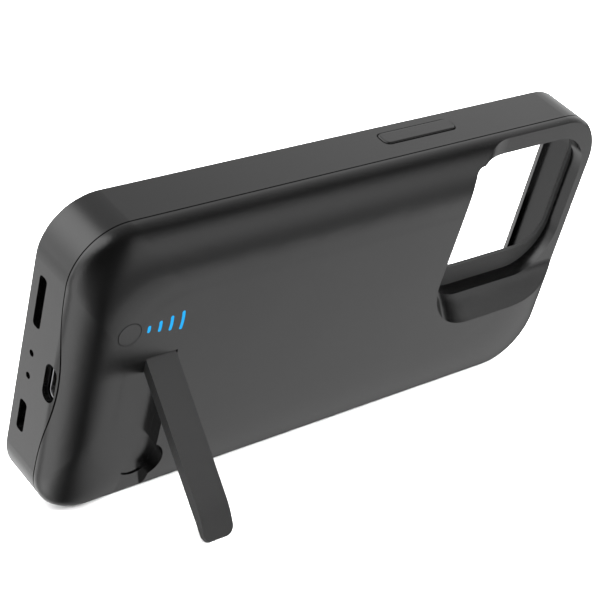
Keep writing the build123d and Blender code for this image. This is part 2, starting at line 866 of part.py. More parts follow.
def foot_centre():
    """Centre of the small round at the inner edge of the opened foot, which it stands on."""
    rounds = leg_profile().edges().filter_by(GeomType.CIRCLE)
    rounds = rounds.filter_by(lambda edge: abs(edge.radius - leg_tip_round) < leg_tip_round / 100)
    centre = rounds.sort_by(Axis.Y)[0].arc_center
    turn = math.radians(-leg_open_angle)
    y = centre.X - hinge_from_lower
    z = centre.Y - hinge_height
    return (
        hinge_from_lower + y * math.cos(turn) - z * math.sin(turn),
        hinge_height + y * math.sin(turn) + z * math.cos(turn),
    )


def lean_angle():
    """Lean at which the lower shoulder and the foot touch the same level surface."""
    foot_y, foot_z = foot_centre()
    curve = shoulder_points(contact_steps)
    low = math.radians(1)
    high = math.radians(60)
    for _ in range(50):
        lean = (low + high) / 2
        shoulder_level = min(
            side_inset * pull * math.cos(lean) - (shoulder_foot + shoulder_height * rise) * math.sin(lean)
            for pull, rise in curve
        )
        foot_level = foot_y * math.cos(lean) - foot_z * math.sin(lean) - leg_tip_round
        if foot_level > shoulder_level:
            low = lean
        else:
            high = lean
    return math.degrees(lean)


pieces = {
    "bumper_frame": bumper_frame(),
    "back_cover": back_cover(),
    "phone_tray": phone_tray(),
    "battery_cell": battery_cell(),
    "battery_pad": battery_pad(),
    "battery_leads": battery_leads(),
    "control_board": control_board(),
    "board_screws": board_screws(),
    "inlet_shell": inlet_shell(),
    "inlet_tongue": inlet_tongue(),
    "plug_board": plug_board(),
    "plug_holder": plug_holder(),
    "phone_plug": phone_plug(),
    "flex_cable": flex_cable(),
    "charge_chip": charge_chip(),
    "boost_coil": boost_coil(),
    "board_capacitors": board_capacitors(),
    "indicator_leds": indicator_leds(),
    "light_guide": light_guide(),
    "check_button": check_button(),
    "switch_body": switch_body(),
    "switch_plunger": switch_plunger(),
    "kickstand_leg": kickstand_leg(),
    "hinge_pin": hinge_bar(hinge_pin_diameter, hinge_pin_length),
}
for name, (length, place, upper) in key_places().items():
    key = side_key(length, place)
    pieces[name] = on_upper_side(key) if upper else key

# Lean the case back onto its lower edge and its leg, and centre it over the origin
lean = lean_angle()
tilt = Rot(90 + lean, 0, 0)
leaned = {name: tilt * piece for name, piece in pieces.items()}
boxes = [piece.bounding_box() for piece in leaned.values()]
lowest = Vector(*[min(getattr(box.min, axis) for box in boxes) for axis in "XYZ"])
highest = Vector(*[max(getattr(box.max, axis) for box in boxes) for axis in "XYZ"])
centre = (lowest + highest) / 2
centring = Pos(-centre.X, -centre.Y, -lowest.Z)
os.makedirs("parts", exist_ok=True)
for name, piece in leaned.items():
    export_step(centring * piece, f"parts/{name}.step")
hinge = centring * tilt * Pos(leg_from_port, hinge_from_lower, hinge_height)
print(f"lean {lean:.3f} degrees, hinge at {hinge.position}")
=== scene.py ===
"""A battery case for a phone, standing on its fold-out leg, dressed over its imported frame.

Metres, in the frame's own axes: +X runs from the port end to the camera end,
the back and the leg face -Y, and the case stands on Z = 0.
"""
import math

import bmesh
import bpy
from mathutils import Matrix, Vector


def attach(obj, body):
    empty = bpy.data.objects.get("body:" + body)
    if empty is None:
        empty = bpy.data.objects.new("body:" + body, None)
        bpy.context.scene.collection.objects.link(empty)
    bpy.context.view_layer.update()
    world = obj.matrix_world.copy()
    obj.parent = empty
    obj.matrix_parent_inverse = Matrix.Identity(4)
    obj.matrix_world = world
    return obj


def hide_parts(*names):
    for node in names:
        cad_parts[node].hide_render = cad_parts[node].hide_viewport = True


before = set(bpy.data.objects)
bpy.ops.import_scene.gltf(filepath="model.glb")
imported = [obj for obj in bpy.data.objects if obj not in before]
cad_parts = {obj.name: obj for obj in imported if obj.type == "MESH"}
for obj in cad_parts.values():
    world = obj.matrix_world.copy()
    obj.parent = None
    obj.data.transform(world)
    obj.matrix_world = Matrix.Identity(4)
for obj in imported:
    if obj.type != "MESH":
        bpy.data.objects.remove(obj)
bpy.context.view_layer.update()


# Bumper frame: the ring that grips the phone, with its front lip and the thick port end.
# Injection-moulded black plastic with a fine satin face, clipped to the back cover at the seam.
def moulded_face():
    """Node group for moulded plastic: a fine grain to bump with, and slow clouds from the mould's polish."""
    group = bpy.data.node_groups.new("moulded_face", "ShaderNodeTree")
    group.interface.new_socket("Grain Size", in_out="INPUT", socket_type="NodeSocketFloat")
    group.interface.new_socket("Cloud Size", in_out="INPUT", socket_type="NodeSocketFloat")
    group.interface.new_socket("Grain", in_out="OUTPUT", socket_type="NodeSocketFloat")
    group.interface.new_socket("Cloud", in_out="OUTPUT", socket_type="NodeSocketFloat")
    nodes, links = group.nodes, group.links
    given = nodes.new("NodeGroupInput")
    result = nodes.new("NodeGroupOutput")
    place = nodes.new("ShaderNodeTexCoord")
    for size, output, detail in (("Grain Size", "Grain", 3), ("Cloud Size", "Cloud", 2)):
        per_metre = nodes.new("ShaderNodeMath")
        per_metre.operation = "DIVIDE"
        per_metre.inputs[0].default_value = 1
        links.new(given.outputs[size], per_metre.inputs[1])
        noise = nodes.new("ShaderNodeTexNoise")
        noise.inputs["Detail"].default_value = detail
        links.new(place.outputs["Object"], noise.inputs["Vector"])
        links.new(per_metre.outputs[0], noise.inputs["Scale"])
        links.new(noise.outputs["Fac"], result.inputs[output])
    return group


moulded = moulded_face()


def faced_material(name, dark, light, smooth, rough, group, sizes, drift, relief, depth):
    """Material whose colour and gloss drift by one output of a group, and whose face is raised by another."""
    least_drift, most_drift = 0.25, 0.75
    material = bpy.data.materials.new(name)
    material.use_nodes = True
    nodes, links = material.node_tree.nodes, material.node_tree.links
    shader = nodes["Principled BSDF"]
    face = nodes.new("ShaderNodeGroup")
    face.node_tree = group
    for socket, value in sizes.items():
        face.inputs[socket].default_value = value
    tint = nodes.new("ShaderNodeMix")
    tint.data_type = "RGBA"
    tint.inputs["A"].default_value = (*dark, 1)
    tint.inputs["B"].default_value = (*light, 1)
    links.new(face.outputs[drift], tint.inputs["Factor"])
    links.new(tint.outputs["Result"], shader.inputs["Base Color"])
    gloss = nodes.new("ShaderNodeMapRange")
    gloss.inputs["From Min"].default_value = least_drift
    gloss.inputs["From Max"].default_value = most_drift
    gloss.inputs["To Min"].default_value = smooth
    gloss.inputs["To Max"].default_value = rough
    links.new(face.outputs[drift], gloss.inputs["Value"])
    links.new(gloss.outputs["Result"], shader.inputs["Roughness"])
    bump = nodes.new("ShaderNodeBump")
    bump.inputs["Distance"].default_value = depth
    links.new(face.outputs[relief], bump.inputs["Height"])
    links.new(bump.outputs["Normal"], shader.inputs["Normal"])
    return material


def plastic(name, dark, light, smooth, rough, grain_size, grain_depth, cloud_size=0.018, mirror=0.5):
    """Moulded plastic with slow clouds in its gloss and a fine grain. A low mirror value makes it dull."""
    sizes = {"Grain Size": grain_size, "Cloud Size": cloud_size}
    material = faced_material(name, dark, light, smooth, rough, moulded, sizes, "Cloud", "Grain", grain_depth)
    material.node_tree.nodes["Principled BSDF"].inputs["Specular IOR Level"].default_value = mirror
    return material


def dress(material, *names):
    """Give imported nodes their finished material."""
    for name in names:
        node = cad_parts[name]
        node.data.materials.clear()
        node.data.materials.append(material)


case_plastic = plastic(
    "case_plastic", dark=(0.0006, 0.0006, 0.0006), light=(0.0010, 0.0010, 0.0010),
    smooth=0.23, rough=0.27, grain_size=0.0003, grain_depth=0.000003)
dress(case_plastic, "bumper_frame")


# Plug: a drawn steel shell that enters the phone, with two rows of contact springs inside.
# It stands in a moulded holder on a small upright board, and a film cable goes up to the control board.
def drawn_face():
    """Node group for drawn or rolled metal: fine lines along the case, and slow clouds."""
    width_by_length = 0.05
    line_detail = 4
    clouds_per_metre = 220
    group = bpy.data.node_groups.new("drawn_face", "ShaderNodeTree")
    group.interface.new_socket("Line Size", in_out="INPUT", socket_type="NodeSocketFloat")
    group.interface.new_socket("Lines", in_out="OUTPUT", socket_type="NodeSocketFloat")
    group.interface.new_socket("Cloud", in_out="OUTPUT", socket_type="NodeSocketFloat")
    nodes, links = group.nodes, group.links
    given = nodes.new("NodeGroupInput")
    result = nodes.new("NodeGroupOutput")
    place = nodes.new("ShaderNodeTexCoord")
    along = nodes.new("ShaderNodeMapping")
    along.inputs["Scale"].default_value = (width_by_length, 1, 1)
    links.new(place.outputs["Object"], along.inputs["Vector"])
    per_metre = nodes.new("ShaderNodeMath")
    per_metre.operation = "DIVIDE"
    per_metre.inputs[0].default_value = 1
    links.new(given.outputs["Line Size"], per_metre.inputs[1])
    lines = nodes.new("ShaderNodeTexNoise")
    lines.inputs["Detail"].default_value = line_detail
    links.new(along.outputs["Vector"], lines.inputs["Vector"])
    links.new(per_metre.outputs[0], lines.inputs["Scale"])
    links.new(lines.outputs["Fac"], result.inputs["Lines"])
    cloud = nodes.new("ShaderNodeTexNoise")
    cloud.inputs["Scale"].default_value = clouds_per_metre
    links.new(place.outputs["Object"], cloud.inputs["Vector"])
    links.new(cloud.outputs["Fac"], result.inputs["Cloud"])
    return group


drawn = drawn_face()


def metal(name, dark, light, smooth, rough, line_size, line_depth):
    """Drawn or plated metal with fine lines."""
    sizes = {"Line Size": line_size}
    material = faced_material(name, dark, light, smooth, rough, drawn, sizes, "Cloud", "Lines", line_depth)
    material.node_tree.nodes["Principled BSDF"].inputs["Metallic"].default_value = 1
    return material


def paired_rows(name):
    """Geometry Nodes tree for two facing rows of small blocks."""
    tree = bpy.data.node_groups.new(name, "GeometryNodeTree")
    face = tree.interface
    face.new_socket("Geometry", in_out="OUTPUT", socket_type="NodeSocketGeometry")
    face.new_socket("Count", in_out="INPUT", socket_type="NodeSocketInt")
    for size in ("Row Gap", "Row Length", "Block Height", "Block Width", "Block Length"):
        face.new_socket(size, in_out="INPUT", socket_type="NodeSocketFloat")
    face.new_socket("Finish", in_out="INPUT", socket_type="NodeSocketMaterial")
    nodes, links = tree.nodes, tree.links
    given = nodes.new("NodeGroupInput")
    places = nodes.new("GeometryNodeMeshGrid")
    places.inputs["Vertices X"].default_value = 2
    links.new(given.outputs["Count"], places.inputs["Vertices Y"])
    links.new(given.outputs["Row Gap"], places.inputs["Size X"])
    links.new(given.outputs["Row Length"], places.inputs["Size Y"])
    size = nodes.new("ShaderNodeCombineXYZ")
    for axis, socket in (("X", "Block Height"), ("Y", "Block Width"), ("Z", "Block Length")):
        links.new(given.outputs[socket], size.inputs[axis])
    block = nodes.new("GeometryNodeMeshCube")
    for axis in "XYZ":
        block.inputs[f"Vertices {axis}"].default_value = 3
    links.new(size.outputs["Vector"], block.inputs["Size"])
    spread = nodes.new("GeometryNodeInstanceOnPoints")
    links.new(places.outputs["Mesh"], spread.inputs["Points"])
    links.new(block.outputs["Mesh"], spread.inputs["Instance"])
    real = nodes.new("GeometryNodeRealizeInstances")
    links.new(spread.outputs["Instances"], real.inputs["Geometry"])
    finish = nodes.new("GeometryNodeSetMaterial")
    links.new(real.outputs["Geometry"], finish.inputs["Geometry"])
    links.new(given.outputs["Finish"], finish.inputs["Material"])
    result = nodes.new("NodeGroupOutput")
    links.new(finish.outputs["Geometry"], result.inputs["Geometry"])
    return tree


def bake_nodes(name, tree, sizes, place):
    """Turn a Geometry Nodes tree with its sizes into a plain mesh at its place."""
    start = bpy.data.meshes.new(name)
    piece = bpy.data.objects.new(name, start)
    bpy.context.scene.collection.objects.link(piece)
    maker = piece.modifiers.new("maker", "NODES")
    maker.node_group = tree
    for socket in tree.interface.items_tree:
        if socket.in_out == "INPUT":
            maker[socket.identifier] = sizes[socket.name]
    shape = bpy.data.meshes.new_from_object(piece.evaluated_get(bpy.context.evaluated_depsgraph_get()))
    piece.modifiers.remove(maker)
    shape.transform(place)
    piece.data = shape
    bpy.data.meshes.remove(start)
    return piece


# The drawing has the case flat on its front: X from the port end, Y from the lower side, Z from the front.
lean = 24.357
drawing_origin = (-0.07665, 0.025416, 0.005428)
drawing = Matrix.Translation(drawing_origin) @ Matrix.Rotation(math.radians(90 + lean), 4, "X")
middle = 0.0383
# Lays the blocks of a pair of rows along the case, with one row nearer to the front.
end_on = Matrix(((0, 0, -1, 0), (0, 1, 0, 0), (1, 0, 0, 0), (0, 0, 0, 1)))

plug_steel = metal(
    "plug_steel", dark=(0.70, 0.70, 0.71), light=(0.82, 0.82, 0.83),
    smooth=0.16, rough=0.26, line_size=0.0002, line_depth=0.000002)
dress(plug_steel, "phone_plug")
contact_gold = metal(
    "contact_gold", dark=(0.70, 0.52, 0.24), light=(0.82, 0.64, 0.32),
    smooth=0.18, rough=0.30, line_size=0.0001, line_depth=0.000002)
row_tree = paired_rows("paired_rows")
spring_middle, plug_axis = 0.0064, 0.0056
spring_sizes = {
    "Count": 12, "Row Gap": 0.00165, "Row Length": 0.0055,
    "Block Height": 0.00018, "Block Width": 0.00026, "Block Length": 0.0042, "Finish": contact_gold,
}
spring_place = drawing @ Matrix.Translation((spring_middle, middle, plug_axis)) @ end_on
plug_springs = bake_nodes("plug_springs", row_tree, spring_sizes, spring_place)
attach(plug_springs, "case")

# The tray's mirror value is set very low: painted shade that stands in for the shade the left-out phone casts
# in the camera corner.
tray_plastic = plastic(
    "tray_plastic", dark=(0.010, 0.010, 0.010), light=(0.016, 0.016, 0.016),
    smooth=0.46, rough=0.56, grain_size=0.0005, grain_depth=0.000012, mirror=0.06)
dress(tray_plastic, "plug_holder")


def board_material():
    """Green solder mask over copper, with lighter runs where the copper lies under it."""
    copper_green, bare_green = (0.030, 0.170, 0.060, 1), (0.008, 0.075, 0.028, 1)
    copper_gloss, bare_gloss = 0.24, 0.34
    cells_per_metre = 420
    run_edge, run_end = 0.05, 0.09
    copper_depth = 0.00003
    material = bpy.data.materials.new("board_green")
    material.use_nodes = True
    nodes, links = material.node_tree.nodes, material.node_tree.links
    shader = nodes["Principled BSDF"]
    place = nodes.new("ShaderNodeTexCoord")
    cells = nodes.new("ShaderNodeTexVoronoi")
    cells.distance = "MANHATTAN"
    cells.feature = "DISTANCE_TO_EDGE"
    cells.inputs["Scale"].default_value = cells_per_metre
    links.new(place.outputs["Object"], cells.inputs["Vector"])
    runs = nodes.new("ShaderNodeMapRange")
    runs.inputs["From Min"].default_value = run_edge
    runs.inputs["From Max"].default_value = run_end
    links.new(cells.outputs["Distance"], runs.inputs["Value"])
    tint = nodes.new("ShaderNodeMix")
    tint.data_type = "RGBA"
    tint.inputs["A"].default_value = copper_green
    tint.inputs["B"].default_value = bare_green
    links.new(runs.outputs["Result"], tint.inputs["Factor"])
    links.new(tint.outputs["Result"], shader.inputs["Base Color"])
    gloss = nodes.new("ShaderNodeMapRange")
    gloss.inputs["To Min"].default_value = copper_gloss
    gloss.inputs["To Max"].default_value = bare_gloss
    links.new(runs.outputs["Result"], gloss.inputs["Value"])
    links.new(gloss.outputs["Result"], shader.inputs["Roughness"])
    raised = nodes.new("ShaderNodeMath")
    raised.operation = "SUBTRACT"
    raised.inputs[0].default_value = 1
    links.new(runs.outputs["Result"], raised.inputs[1])
    bump = nodes.new("ShaderNodeBump")
    bump.inputs["Distance"].default_value = copper_depth
    links.new(raised.outputs[0], bump.inputs["Height"])
    links.new(bump.outputs["Normal"], shader.inputs["Normal"])
    return material


board_green = board_material()
dress(board_green, "plug_board")


def film_material():
    """Amber film with the dark lines of the copper tracks inside it."""
    dark_amber, light_amber = (0.20, 0.065, 0.012, 1), (0.46, 0.19, 0.035, 1)
    film_gloss = 0.28
    track_scale, track_waver, track_depth = 640, 0.2, 0.00001
    material = bpy.data.materials.new("flex_film")
    material.use_nodes = True
    nodes, links = material.node_tree.nodes, material.node_tree.links
    shader = nodes["Principled BSDF"]
    shader.inputs["Roughness"].default_value = film_gloss
    place = nodes.new("ShaderNodeTexCoord")
    tracks = nodes.new("ShaderNodeTexWave")
    tracks.bands_direction = "Z"
    tracks.inputs["Scale"].default_value = track_scale
    tracks.inputs["Distortion"].default_value = track_waver
    links.new(place.outputs["Object"], tracks.inputs["Vector"])
    tint = nodes.new("ShaderNodeMix")
    tint.data_type = "RGBA"
    tint.inputs["A"].default_value = dark_amber
    tint.inputs["B"].default_value = light_amber
    links.new(tracks.outputs["Fac"], tint.inputs["Factor"])
    links.new(tint.outputs["Result"], shader.inputs["Base Color"])
    bump = nodes.new("ShaderNodeBump")
    bump.inputs["Distance"].default_value = track_depth
    links.new(tracks.outputs["Fac"], bump.inputs["Height"])
    links.new(bump.outputs["Normal"], shader.inputs["Normal"])
    return material


flex_film = film_material()
dress(flex_film, "flex_cable")


# Side keys: three bars moulded in the frame's plastic, each held behind the wall by its flange.
# They carry the thumb's push on to the phone's own buttons.
dress(case_plastic, "power_key", "volume_up_key", "volume_down_key")


# Tray: the plate that the phone's back lies on, moulded in matt black plastic, with its gloss turned very low
# as painted shade for the phone that is left out.
# It carries posts for the control board, a rib for the cell and the hole for the camera.
dress(tray_plastic, "phone_tray")


# Battery: a flat pouch of dull foil on two strips of foam tape, with its sealed edges folded up its sides.
# Amber tape covers the lead end, and two nickel tabs go to the control board.
foam_tape = plastic(
    "foam_tape", dark=(0.010, 0.010, 0.010), light=(0.022, 0.022, 0.022),
    smooth=0.86, rough=0.96, grain_size=0.0003, grain_depth=0.00006)
dress(foam_tape, "battery_pad")
cell_foil = metal(
    "cell_foil", dark=(0.50, 0.51, 0.53), light=(0.60, 0.61, 0.63),
    smooth=0.36, rough=0.50, line_size=0.0012, line_depth=0.000015)
dress(cell_foil, "battery_cell")
nickel = metal(
    "nickel", dark=(0.58, 0.55, 0.49), light=(0.70, 0.67, 0.61),
    smooth=0.24, rough=0.36, line_size=0.0002, line_depth=0.000003)
dress(nickel, "battery_leads")


def rounded_strip(name, low, high, round_size, material):
    """Thin strip on the case between two corners of the drawing, with softened edges."""
    shape = bpy.data.meshes.new(name)
    builder = bmesh.new()
    size = [b - a for a, b in zip(low, high)]
    centre = [(a + b) / 2 for a, b in zip(low, high)]
    bmesh.ops.create_cube(builder, size=1, matrix=Matrix.Translation(centre) @ Matrix.Diagonal((*size, 1)))
    bmesh.ops.bevel(
        builder, geom=builder.edges[:], offset=round_size, offset_type="OFFSET", segments=3, profile=0.5,
        affect="EDGES")
    bmesh.ops.recalc_face_normals(builder, faces=builder.faces[:])
    builder.to_mesh(shape)
    builder.free()
    shape.transform(drawing)
    shape.shade_smooth()
    shape.materials.append(material)
    piece = bpy.data.objects.new(name, shape)
    bpy.context.scene.collection.objects.link(piece)
    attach(piece, "case")


cell_start, cell_end = 0.0329, 0.1039
cell_front, cell_back = 0.0109, 0.0161
cell_half_width = 0.028
fold_height, fold_thickness, fold_round = 0.0034, 0.0003, 0.0001
fold_inset = 0.001
fold_front = cell_front + 0.0009
for side, name in ((-1, "lower_foil_fold"), (1, "upper_foil_fold")):
    cell_side = middle + side * cell_half_width
    outside = cell_side + side * fold_thickness
    fold_low = (cell_start + fold_inset, min(cell_side, outside), fold_front)
    fold_high = (cell_end - fold_inset, max(cell_side, outside), fold_front + fold_height)
    rounded_strip(name, fold_low, fold_high, fold_round, cell_foil)

tape_width, tape_thickness, tape_round = 0.009, 0.00006, 0.00002
tape_inset = 0.0004
tape_half_length = cell_half_width - 0.002
tape_low = (cell_start + tape_inset, middle - tape_half_length, cell_back)
tape_high = (cell_start + tape_width, middle + tape_half_length, cell_back + tape_thickness)
rounded_strip("cell_tape", tape_low, tape_high, tape_round, flex_film)


# Control board: a green circuit board on four posts of the tray, which charges the cell and feeds the plug.
# Four small cross-head screws of plain steel hold it.
dress(board_green, "control_board")


def screw_set(name):
    """Geometry Nodes tree for four cross-head screws at the corners of a rectangle."""
    tree = bpy.data.node_groups.new(name, "GeometryNodeTree")
    face = tree.interface
    face.new_socket("Geometry", in_out="OUTPUT", socket_type="NodeSocketGeometry")
    for size in ("Spacing X", "Spacing Y", "Head Radius", "Head Height", "Shank Radius", "Shank Length",
                 "Recess Length", "Recess Width", "Recess Depth"):
        face.new_socket(size, in_out="INPUT", socket_type="NodeSocketFloat")
    face.new_socket("Finish", in_out="INPUT", socket_type="NodeSocketMaterial")
    nodes, links = tree.nodes, tree.links
    given = nodes.new("NodeGroupInput")

    def lifted(mesh, height, times):
        """The mesh moved up by a height times a factor."""
        rise = nodes.new("ShaderNodeMath")
        rise.operation = "MULTIPLY"
        rise.inputs[1].default_value = times
        links.new(height, rise.inputs[0])
        offset = nodes.new("ShaderNodeCombineXYZ")
        links.new(rise.outputs[0], offset.inputs["Z"])
        move = nodes.new("GeometryNodeTransform")
        links.new(mesh, move.inputs["Geometry"])
        links.new(offset.outputs["Vector"], move.inputs["Translation"])
        return move.outputs["Geometry"]

    def rod(radius, depth):
        """Round rod with its middle at the origin."""
        made = nodes.new("GeometryNodeMeshCylinder")
        made.inputs["Vertices"].default_value = 32
        links.new(given.outputs[radius], made.inputs["Radius"])
        links.new(given.outputs[depth], made.inputs["Depth"])
        return made.outputs["Mesh"]

    head = lifted(rod("Head Radius", "Head Height"), given.outputs["Head Height"], 0.5)
    shank = lifted(rod("Shank Radius", "Shank Length"), given.outputs["Shank Length"], -0.5)
    cut = nodes.new("GeometryNodeMeshBoolean")
    cut.operation = "DIFFERENCE"
    links.new(head, cut.inputs["Mesh 1"])
    for first, second in (("Recess Length", "Recess Width"), ("Recess Width", "Recess Length")):
        size = nodes.new("ShaderNodeCombineXYZ")
        double = nodes.new("ShaderNodeMath")
        double.operation = "MULTIPLY"
        double.inputs[1].default_value = 2
        links.new(given.outputs["Recess Depth"], double.inputs[0])
        links.new(given.outputs[first], size.inputs["X"])
        links.new(given.outputs[second], size.inputs["Y"])
        links.new(double.outputs[0], size.inputs["Z"])
        bar = nodes.new("GeometryNodeMeshCube")
        links.new(size.outputs["Vector"], bar.inputs["Size"])
        links.new(lifted(bar.outputs["Mesh"], given.outputs["Head Height"], 1), cut.inputs["Mesh 2"])
    screw = nodes.new("GeometryNodeJoinGeometry")
    links.new(shank, screw.inputs["Geometry"])
    links.new(cut.outputs["Mesh"], screw.inputs["Geometry"])
    corners = nodes.new("GeometryNodeMeshGrid")
    corners.inputs["Vertices X"].default_value = 2
    corners.inputs["Vertices Y"].default_value = 2
    links.new(given.outputs["Spacing X"], corners.inputs["Size X"])
    links.new(given.outputs["Spacing Y"], corners.inputs["Size Y"])
    spread = nodes.new("GeometryNodeInstanceOnPoints")
    links.new(corners.outputs["Mesh"], spread.inputs["Points"])
    links.new(screw.outputs["Geometry"], spread.inputs["Instance"])
    real = nodes.new("GeometryNodeRealizeInstances")
    links.new(spread.outputs["Instances"], real.inputs["Geometry"])
    finish = nodes.new("GeometryNodeSetMaterial")
    links.new(real.outputs["Geometry"], finish.inputs["Geometry"])
    links.new(given.outputs["Finish"], finish.inputs["Material"])
    result = nodes.new("NodeGroupOutput")
    links.new(finish.outputs["Geometry"], result.inputs["Geometry"])
    return tree


screw_steel = metal(
    "screw_steel", dark=(0.42, 0.42, 0.43), light=(0.56, 0.56, 0.57),
    smooth=0.26, rough=0.40, line_size=0.0002, line_depth=0.000003)
board_start, board_length, board_width = 0.0054, 0.024, 0.050
board_back = 0.0123
screw_inset = 0.003
screw_sizes = {
    "Spacing X": board_length - 2 * screw_inset, "Spacing Y": board_width - 2 * screw_inset,
    "Head Radius": 0.0012, "Head Height": 0.0007, "Shank Radius": 0.0006, "Shank Length": 0.0015,
    "Recess Length": 0.0013, "Recess Width": 0.0003, "Recess Depth": 0.0004, "Finish": screw_steel,
}
screw_place = drawing @ Matrix.Translation((board_start + board_length / 2, middle, board_back))
screws = bake_nodes("board_screw_set", screw_set("screw_set"), screw_sizes, screw_place)
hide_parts("board_screws")
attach(screws, "case")


# Parts on the board: the charging chip, the power coil, a row of capacitors, four lamps and the push switch.
# The packages are moulded resin, the capacitors fired ceramic with plated ends, all soldered down.
chip_black = plastic(
    "chip_black", dark=(0.012, 0.012, 0.013), light=(0.020, 0.020, 0.021),
    smooth=0.50, rough=0.62, grain_size=0.00012, grain_depth=0.00001)
dress(chip_black, "charge_chip", "boost_coil")
capacitor_tan = plastic(
    "capacitor_tan", dark=(0.26, 0.155, 0.075), light=(0.34, 0.21, 0.11),
    smooth=0.42, rough=0.52, grain_size=0.0002, grain_depth=0.000006)
dress(capacitor_tan, "board_capacitors")
lamp_white = plastic(
    "lamp_white", dark=(0.66, 0.66, 0.60), light=(0.78, 0.78, 0.72),
    smooth=0.20, rough=0.28, grain_size=0.0004, grain_depth=0.000004)
dress(lamp_white, "indicator_leds")
dress(screw_steel, "switch_body")
row_from_end, row_from_side = 0.012, 0.0084
end_height = 0.00093
end_sizes = {
    "Count": 4, "Row Gap": 0.0017, "Row Length": 0.0072,
    "Block Height": 0.00038, "Block Width": 0.00131, "Block Length": end_height, "Finish": nickel,
}
row_middle = (
    board_start + row_from_end, middle - board_width / 2 + row_from_side, board_back + end_height / 2)
capacitor_ends = bake_nodes("capacitor_ends", row_tree, end_sizes, drawing @ Matrix.Translation(row_middle))
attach(capacitor_ends, "case")


# Charging inlet: a folded steel shell with a rolled front edge, let into the port end round a black blade.
# Two rows of plated contacts lie on the blade, and the shell's tabs are soldered to the board.
dress(plug_steel, "inlet_shell")
contact_black = plastic(
    "contact_black", dark=(0.006, 0.006, 0.006), light=(0.010, 0.010, 0.010),
    smooth=0.36, rough=0.46, grain_size=0.0002, grain_depth=0.000004)
dress(contact_black, "inlet_tongue")


def rolled_bead(name, width, height, round_size, end_steps, bead_steps):
    """Round bead along a slot with half-round ends, which faces along X with its middle at the origin."""
    turns = [2 * math.pi * k / bead_steps for k in range(bead_steps)]
    builder = bmesh.new()
    rings = []
    for side in (1, -1):
        for step in range(end_steps + 1):
            angle = math.pi * (step / end_steps - 0.5)
            outward = Vector((0, side * math.cos(angle), side * math.sin(angle)))
            centre = Vector((0, side * (width - height) / 2, 0)) + outward * height / 2
            arms = [math.cos(turn) * outward + Vector((math.sin(turn), 0, 0)) for turn in turns]
            rings.append([builder.verts.new(centre + round_size * arm) for arm in arms])
    for ring, following in zip(rings, rings[1:] + rings[:1]):
        for k in range(bead_steps):
            builder.faces.new((ring[k - 1], ring[k], following[k], following[k - 1]))
    bmesh.ops.recalc_face_normals(builder, faces=builder.faces[:])
    shape = bpy.data.meshes.new(name)
    builder.to_mesh(shape)
    builder.free()
    return shape


rolled_steel = metal(
    "rolled_steel", dark=(0.26, 0.26, 0.27), light=(0.32, 0.32, 0.33),
    smooth=0.28, rough=0.38, line_size=0.0002, line_depth=0.000002)
inlet_front, inlet_axis = 0.0018, 0.0119
rim_mesh = rolled_bead(
    "inlet_rim", width=0.00864, height=0.00296, round_size=0.00016, end_steps=24, bead_steps=12)
rim_mesh.transform(drawing @ Matrix.Translation((inlet_front, middle, inlet_axis)))
rim_mesh.shade_smooth()
rim_mesh.materials.append(rolled_steel)
inlet_rim = bpy.data.objects.new("inlet_rim", rim_mesh)
bpy.context.scene.collection.objects.link(inlet_rim)
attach(inlet_rim, "case")

contact_middle = 0.0049
contact_sizes = {
    "Count": 12, "Row Gap": 0.00072, "Row Length": 0.0055,
    "Block Height": 0.00006, "Block Width": 0.00027, "Block Length": 0.0032, "Finish": contact_gold,
}
contact_place = drawing @ Matrix.Translation((contact_middle, middle, inlet_axis)) @ end_on
inlet_contacts = bake_nodes("inlet_contacts", row_tree, contact_sizes, contact_place)
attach(inlet_contacts, "case")


# Back cover: the crowned shell over the cell and the board, with the low camera corner and the leg's slot.
# Moulded in the frame's black plastic, polished a little more, and clipped into the frame by its tongue.
cover_plastic = plastic(
    "cover_plastic", dark=(0.0006, 0.0006, 0.0006), light=(0.0010, 0.0010, 0.0010),
    smooth=0.21, rough=0.24, grain_size=0.0003, grain_depth=0.000002)
dress(cover_plastic, "back_cover")


# Check button: a flush round button in the cover's plastic, held by its flange.
# Its stem presses the black plunger of the push switch.
dress(cover_plastic, "check_button")
dress(contact_black, "switch_plunger")


# Charge lights: four curved bars of one clear moulding, lit blue by the lamps under them.
# They come up through the cover flush with its face, and their glow is slightly uneven.
def lit_material():
    """Clear moulding lit from behind, with the lamp's slight unevenness."""
    bar_rough, bar_mirror = 0.35, 0.06
    patches_per_metre = 700
    material = bpy.data.materials.new("light_blue")
    material.use_nodes = True
    nodes, links = material.node_tree.nodes, material.node_tree.links
    shader = nodes["Principled BSDF"]
    shader.inputs["Roughness"].default_value = bar_rough
    shader.inputs["Specular IOR Level"].default_value = bar_mirror
    shader.inputs["Emission Strength"].default_value = 1
    place = nodes.new("ShaderNodeTexCoord")
    uneven = nodes.new("ShaderNodeTexNoise")
    uneven.inputs["Scale"].default_value = patches_per_metre
    links.new(place.outputs["Object"], uneven.inputs["Vector"])
    for socket, dim, bright in (("Base Color", (0.002, 0.02, 0.05), (0.003, 0.03, 0.07)),
                                ("Emission Color", (0.000, 0.31, 0.70), (0.004, 0.39, 0.80))):
        tint = nodes.new("ShaderNodeMix")
        tint.data_type = "RGBA"
        tint.inputs["A"].default_value = (*dim, 1)
        tint.inputs["B"].default_value = (*bright, 1)
        links.new(uneven.outputs["Fac"], tint.inputs["Factor"])
        links.new(tint.outputs["Result"], shader.inputs[socket])
    return material


dress(lit_material(), "light_guide")


# Leg: a flat arm of dull black plastic that swings out of its slot to prop the case up.
# It turns on a plain steel pin pressed into the cover, and its heel stops against the slot's end.
stand_plastic = plastic(
    "stand_plastic", dark=(0.0082, 0.0082, 0.0082), light=(0.0100, 0.0100, 0.0100),
    smooth=0.34, rough=0.40, grain_size=0.0003, grain_depth=0.000003, mirror=0.12)
dress(stand_plastic, "kickstand_leg")
dress(screw_steel, "hinge_pin")


